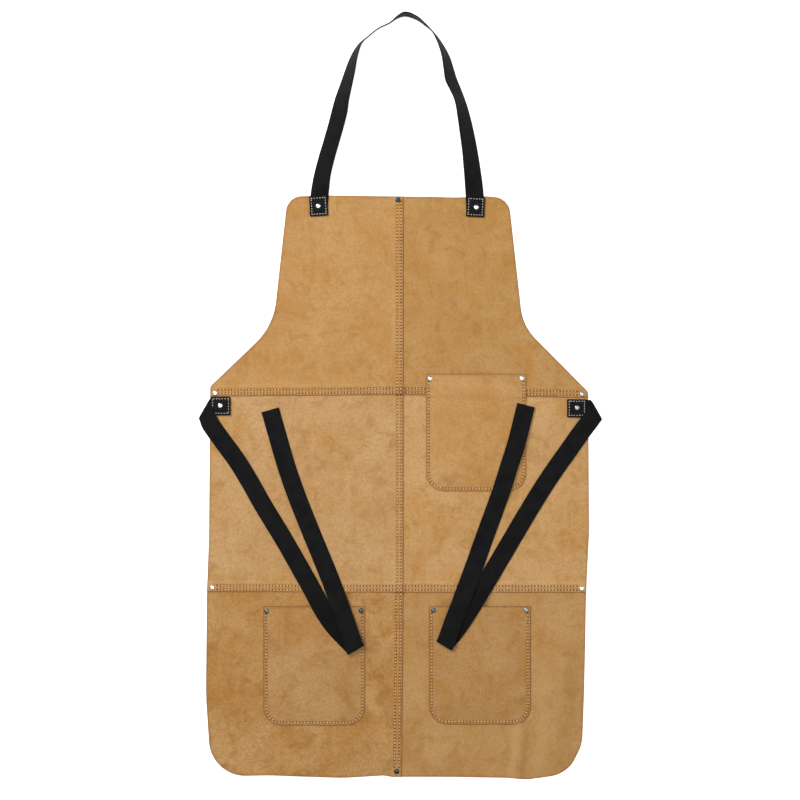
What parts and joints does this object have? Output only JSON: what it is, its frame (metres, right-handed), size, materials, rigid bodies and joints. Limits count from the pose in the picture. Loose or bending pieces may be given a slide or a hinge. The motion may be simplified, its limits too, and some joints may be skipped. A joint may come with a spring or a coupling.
{
  "type": "leather apron",
  "caption": "Leather welding apron laid flat: lapped panels, a chest pocket, skirt pockets, rivets, a webbing neck loop and folded webbing ties.",
  "frame": {"origin": "middle of the whole object's underside, close to the middle of the waist seam", "axes": "+X to the viewer's right when the front face is seen with the neck loop up, +Y towards the neck loop, +Z out of the front face"},
  "size_m": [0.6229, 1.1802, 0.0281],
  "materials": {
    "tan_leather": "suede, matt, blotchy tan",
    "pocket_leather": "suede, matt, slightly darker tan",
    "black_leather": "smooth, satin black",
    "black_webbing": "flat woven, black",
    "tan_thread": "twisted thread, light tan",
    "white_thread": "twisted thread, white",
    "rivet_metal": "polished, bright"
  },
  "bodies": {
    "apron": {"bib_panel_left": "tan_leather", "bib_panel_right": "tan_leather", "waist_panel_left": "tan_leather", "waist_panel_right": "tan_leather", "skirt_panel_left": "tan_leather", "skirt_panel_right": "tan_leather", "chest_pocket": "pocket_leather", "skirt_pocket_left": "pocket_leather", "skirt_pocket_right": "pocket_leather", "chest_pocket_thread": "tan_thread", "skirt_pocket_left_thread": "tan_thread", "skirt_pocket_right_thread": "tan_thread", "middle_seam_thread": "tan_thread", "upper_seam_thread": "tan_thread", "lower_seam_thread": "tan_thread", "neck_patch_left": "black_leather", "neck_patch_right": "black_leather", "tie_patch_left": "black_leather", "tie_patch_right": "black_leather", "neck_patch_threads": "white_thread", "tie_patch_threads": "white_thread", "neck_strap_end_left": "black_webbing", "neck_strap_end_right": "black_webbing", "tie_left_end": "black_webbing", "tie_right_end": "black_webbing", "seam_rivet_caps": "rivet_metal", "pocket_rivet_caps": "rivet_metal", "strap_rivet_caps": "rivet_metal", "seam_rivet_posts": "rivet_metal", "pocket_rivet_posts": "rivet_metal", "strap_rivet_posts": "rivet_metal"},
    "neck_loop": {"neck_strap_loop": "black_webbing"},
    "left_tie_run": {"tie_left_run": "black_webbing"},
    "left_tie_tail": {"tie_left_tail": "black_webbing"},
    "right_tie_run": {"tie_right_run": "black_webbing"},
    "right_tie_tail": {"tie_right_tail": "black_webbing"}
  },
  "joints": [
    {"name": "neck_loop_lift", "type": "hinge", "parent": "apron", "child": "neck_loop", "pos_m": [0, 0.3185, 0.0033], "axis": [1, 0, 0], "range_deg": [0, 160]},
    {"name": "left_tie_unfold", "type": "hinge", "parent": "apron", "child": "left_tie_run", "pos_m": [-0.302, -0.01675, 0.00435], "axis": [-0.4921, -0.8705, 0], "range_deg": [0, 170]},
    {"name": "left_tail_unfold", "type": "hinge", "parent": "left_tie_run", "child": "left_tie_tail", "pos_m": [-0.0683, -0.39055, 0.01075], "axis": [0.8668, 0.4987, 0], "range_deg": [0, 170]},
    {"name": "right_tie_unfold", "type": "hinge", "parent": "apron", "child": "right_tie_run", "pos_m": [0.30225, -0.01915, 0.00435], "axis": [-0.5054, 0.8629, 0], "range_deg": [0, 170]},
    {"name": "right_tail_unfold", "type": "hinge", "parent": "right_tie_run", "child": "right_tie_tail", "pos_m": [0.06685, -0.38385, 0.01075], "axis": [0.855, -0.5187, 0], "range_deg": [0, 170]}
  ]
}
